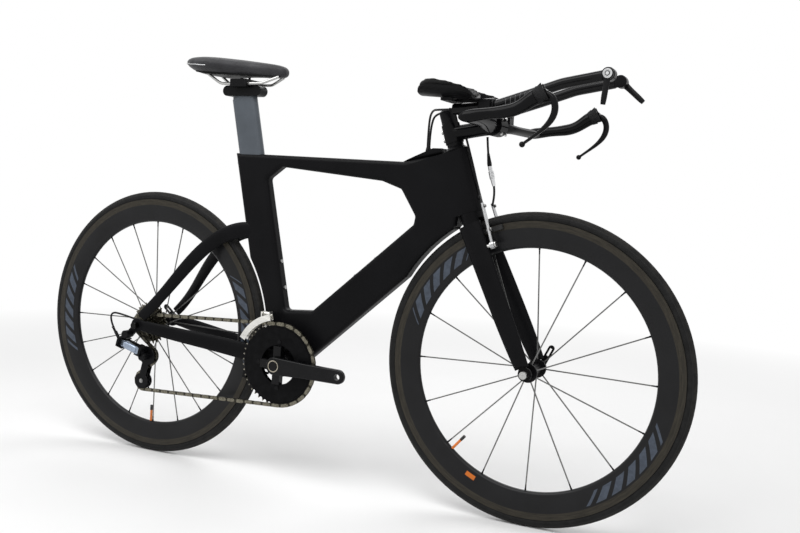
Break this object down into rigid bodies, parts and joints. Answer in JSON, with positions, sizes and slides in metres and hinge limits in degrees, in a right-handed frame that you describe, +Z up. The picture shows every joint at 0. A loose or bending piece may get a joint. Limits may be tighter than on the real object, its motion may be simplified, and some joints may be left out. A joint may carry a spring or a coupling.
{
  "type": "time trial bike",
  "caption": "Carbon time trial bicycle with aero frame, deep rims, base bar with armrests and extension bars, narrow saddle, double crankset and chain drive.",
  "frame": {"origin": "on the ground under the middle of the bounding box, between the two wheels", "axes": "+X forwards, +Y to the rider's left, +Z up"},
  "size_m": [1.6819, 0.454, 1.0046],
  "materials": {
    "carbon_satin": "satin black lacquer over carbon",
    "carbon_gloss": "gloss black",
    "rim_black": "satin black with a worn brake track",
    "tyre": "matt black rubber",
    "steel": "brushed",
    "aluminium": "satin",
    "black_alloy": "black anodised",
    "chain": "dull oiled steel",
    "saddle": "matt black cover",
    "foam": "matt black foam pad",
    "cable": "satin black housing",
    "plastic": "matt black",
    "post_grey": "satin dark blue grey",
    "orange": "orange stem"
  },
  "bodies": {
    "frame": {"main_frame": "carbon_satin", "chainstays": "carbon_satin", "seatstays": "carbon_satin", "frame_hardware": "steel", "rear_derailleur_base": "black_alloy", "front_derailleur_mount": "black_alloy", "cable_cover": "plastic", "rear_shift_cable": "cable", "chain": "chain"},
    "seat": {"seatpost": "post_grey", "saddle_clamp": "black_alloy", "saddle_rails": "steel", "saddle_shell": "plastic", "saddle_cover": "saddle"},
    "steering": {"fork": "carbon_satin", "headset_spacers": "black_alloy", "stem": "black_alloy", "steering_bolts": "steel", "base_bar": "carbon_gloss", "brake_lever_bodies": "carbon_gloss", "aerobar_clamps": "black_alloy", "armrest_pads": "foam", "extension_bars": "carbon_gloss", "shifter_bodies": "black_alloy", "front_axle": "steel", "front_brake_cable": "cable", "control_cables": "cable"},
    "front_wheel": {"front_tyre": "tyre", "front_rim": "rim_black", "front_spokes": "black_alloy", "front_hub": "black_alloy", "front_valve": "orange"},
    "rear_wheel": {"rear_tyre": "tyre", "rear_rim": "rim_black", "rear_spokes": "black_alloy", "rear_hub": "black_alloy", "rear_valve": "orange"},
    "cassette": {"cassette": "chain"},
    "crankset": {"crank_arm_right": "carbon_gloss", "crank_arm_left": "carbon_gloss", "chainrings": "black_alloy", "chainring_bolts": "steel"},
    "rear_derailleur_link": {"rear_derailleur_link": "aluminium"},
    "rear_derailleur_inner_link": {"rear_derailleur_inner_link": "black_alloy"},
    "rear_derailleur_knuckle": {"rear_derailleur_knuckle": "black_alloy", "rear_derailleur_cage": "carbon_gloss"},
    "guide_pulley": {"guide_pulley": "plastic"},
    "tension_pulley": {"tension_pulley": "plastic"},
    "front_derailleur_link": {"front_derailleur_link": "black_alloy"},
    "front_derailleur_cage": {"front_derailleur_cage": "aluminium"},
    "front_brake_arm_left": {"front_brake_arm_left": "aluminium"},
    "front_brake_arm_right": {"front_brake_arm_right": "aluminium"},
    "rear_brake_arm_left": {"rear_brake_arm_left": "black_alloy"},
    "rear_brake_arm_right": {"rear_brake_arm_right": "black_alloy"},
    "brake_lever_left": {"brake_lever_left": "carbon_gloss"},
    "brake_lever_right": {"brake_lever_right": "carbon_gloss"},
    "shift_lever_left": {"shift_lever_left": "black_alloy"},
    "shift_lever_right": {"shift_lever_right": "black_alloy"},
    "front_qr_lever": {"front_qr_lever": "aluminium"},
    "rear_qr_lever": {"rear_qr_lever": "aluminium"}
  },
  "joints": [
    {"name": "seatpost_slide", "type": "slide", "parent": "frame", "child": "seat", "axis": [-0.1925, 0, 0.9813], "range_m": [-0.05, 0.04]},
    {"name": "steering_turn", "type": "hinge", "parent": "frame", "child": "steering", "pos_m": [0.46125, 0, 0.32178], "axis": [-0.309, 0, 0.9511], "range_deg": [-30, 30], "deforming": ["control_cables"]},
    {"name": "front_wheel_spin", "type": "hinge", "parent": "steering", "child": "front_wheel", "pos_m": [0.505, 0, 0.336], "axis": [0, 1, 0], "continuous": true},
    {"name": "rear_wheel_spin", "type": "hinge", "parent": "frame", "child": "rear_wheel", "pos_m": [-0.505, 0, 0.336], "axis": [0, 1, 0], "continuous": true},
    {"name": "crank_spin", "type": "hinge", "parent": "frame", "child": "crankset", "pos_m": [-0.09662, 0, 0.2815], "axis": [0, 1, 0], "continuous": true},
    {"name": "cassette_spin", "type": "hinge", "parent": "frame", "child": "cassette", "pos_m": [-0.505, 0, 0.336], "axis": [0, 1, 0], "continuous": true},
    {"name": "guide_pulley_spin", "type": "hinge", "parent": "rear_derailleur_knuckle", "child": "guide_pulley", "pos_m": [-0.482, 0, 0.258], "axis": [0, 1, 0], "continuous": true},
    {"name": "tension_pulley_spin", "type": "hinge", "parent": "rear_derailleur_knuckle", "child": "tension_pulley", "pos_m": [-0.49906, 0, 0.19218], "axis": [0, 1, 0], "continuous": true},
    {"name": "shift_lever_right_turn", "type": "hinge", "parent": "steering", "child": "shift_lever_right", "pos_m": [0.64089, -0.056, 0.94632], "axis": [0, 1, 0], "range_deg": [-20, 20]},
    {"name": "shift_lever_left_turn", "type": "hinge", "parent": "steering", "child": "shift_lever_left", "pos_m": [0.64089, 0.056, 0.94632], "axis": [0, 1, 0], "range_deg": [-15, 15]},
    {"name": "rear_derailleur_shift", "type": "hinge", "parent": "frame", "child": "rear_derailleur_link", "pos_m": [-0.54, -0.08, 0.288], "axis": [0.2756, 0, 0.9613], "range_deg": [-4.4, 4.4], "deforming": ["chain"]},
    {"name": "rear_derailleur_inner_turn", "type": "hinge", "parent": "frame", "child": "rear_derailleur_inner_link", "pos_m": [-0.54, -0.066, 0.288], "axis": [0.2756, 0, 0.9613], "range_deg": [-4.4, 4.4]},
    {"name": "rear_derailleur_knuckle_turn", "type": "hinge", "parent": "rear_derailleur_link", "child": "rear_derailleur_knuckle", "pos_m": [-0.49194, -0.08, 0.27422], "axis": [0.2756, 0, 0.9613], "range_deg": [-4.4, 4.4]},
    {"name": "front_derailleur_shift", "type": "hinge", "parent": "frame", "child": "front_derailleur_link", "pos_m": [-0.14, -0.028, 0.366], "axis": [1, 0, 0], "range_deg": [-3, 3]},
    {"name": "front_derailleur_cage_turn", "type": "hinge", "parent": "front_derailleur_link", "child": "front_derailleur_cage", "pos_m": [-0.14, -0.033, 0.397], "axis": [1, 0, 0], "range_deg": [-3, 3]},
    {"name": "brake_lever_left_pull", "type": "hinge", "parent": "steering", "child": "brake_lever_left", "pos_m": [0.55819, 0.212, 0.89348], "axis": [0, 1, 0], "range_deg": [0, 20], "stiffness_Nm_per_rad": 0.6},
    {"name": "brake_lever_right_pull", "type": "hinge", "parent": "steering", "child": "brake_lever_right", "pos_m": [0.55819, -0.212, 0.89348], "axis": [0, 1, 0], "range_deg": [0, 20], "stiffness_Nm_per_rad": 0.6},
    {"name": "front_brake_arm_left_turn", "type": "hinge", "parent": "steering", "child": "front_brake_arm_left", "pos_m": [0.415, 0.04, 0.598], "axis": [0.9397, 0, 0.342], "range_deg": [0, 1.8]},
    {"name": "front_brake_arm_right_turn", "type": "hinge", "parent": "steering", "child": "front_brake_arm_right", "pos_m": [0.415, -0.04, 0.598], "axis": [0.9397, 0, 0.342], "range_deg": [-1.8, 0]},
    {"name": "rear_brake_arm_left_turn", "type": "hinge", "parent": "frame", "child": "rear_brake_arm_left", "pos_m": [-0.16, 0.027, 0.253], "axis": [0, 0, 1], "range_deg": [0, 1]},
    {"name": "rear_brake_arm_right_turn", "type": "hinge", "parent": "frame", "child": "rear_brake_arm_right", "pos_m": [-0.16, -0.027, 0.253], "axis": [0, 0, 1], "range_deg": [-1, 0]},
    {"name": "front_qr_turn", "type": "hinge", "parent": "steering", "child": "front_qr_lever", "pos_m": [0.505, 0.0684, 0.336], "axis": [-0.8988, 0, 0.4384], "range_deg": [0, 150]},
    {"name": "rear_qr_turn", "type": "hinge", "parent": "frame", "child": "rear_qr_lever", "pos_m": [-0.505, 0.0834, 0.336], "axis": [-0.6428, 0, -0.766], "range_deg": [0, 150]}
  ],
  "couplings": [
    {"joint": "cassette_spin", "follows": "crank_spin", "ratio": 3.6923},
    {"joint": "guide_pulley_spin", "follows": "crank_spin", "ratio": -4.3636},
    {"joint": "tension_pulley_spin", "follows": "crank_spin", "ratio": 4.3636},
    {"joint": "rear_derailleur_shift", "follows": "shift_lever_right_turn", "ratio": 0.22},
    {"joint": "rear_derailleur_inner_turn", "follows": "shift_lever_right_turn", "ratio": 0.22},
    {"joint": "rear_derailleur_knuckle_turn", "follows": "shift_lever_right_turn", "ratio": -0.22},
    {"joint": "front_derailleur_shift", "follows": "shift_lever_left_turn", "ratio": 0.2},
    {"joint": "front_derailleur_cage_turn", "follows": "shift_lever_left_turn", "ratio": -0.2},
    {"joint": "front_brake_arm_left_turn", "follows": "brake_lever_left_pull", "ratio": 0.09},
    {"joint": "front_brake_arm_right_turn", "follows": "brake_lever_left_pull", "ratio": -0.09},
    {"joint": "rear_brake_arm_left_turn", "follows": "brake_lever_right_pull", "ratio": 0.05},
    {"joint": "rear_brake_arm_right_turn", "follows": "brake_lever_right_pull", "ratio": -0.05}
  ]
}
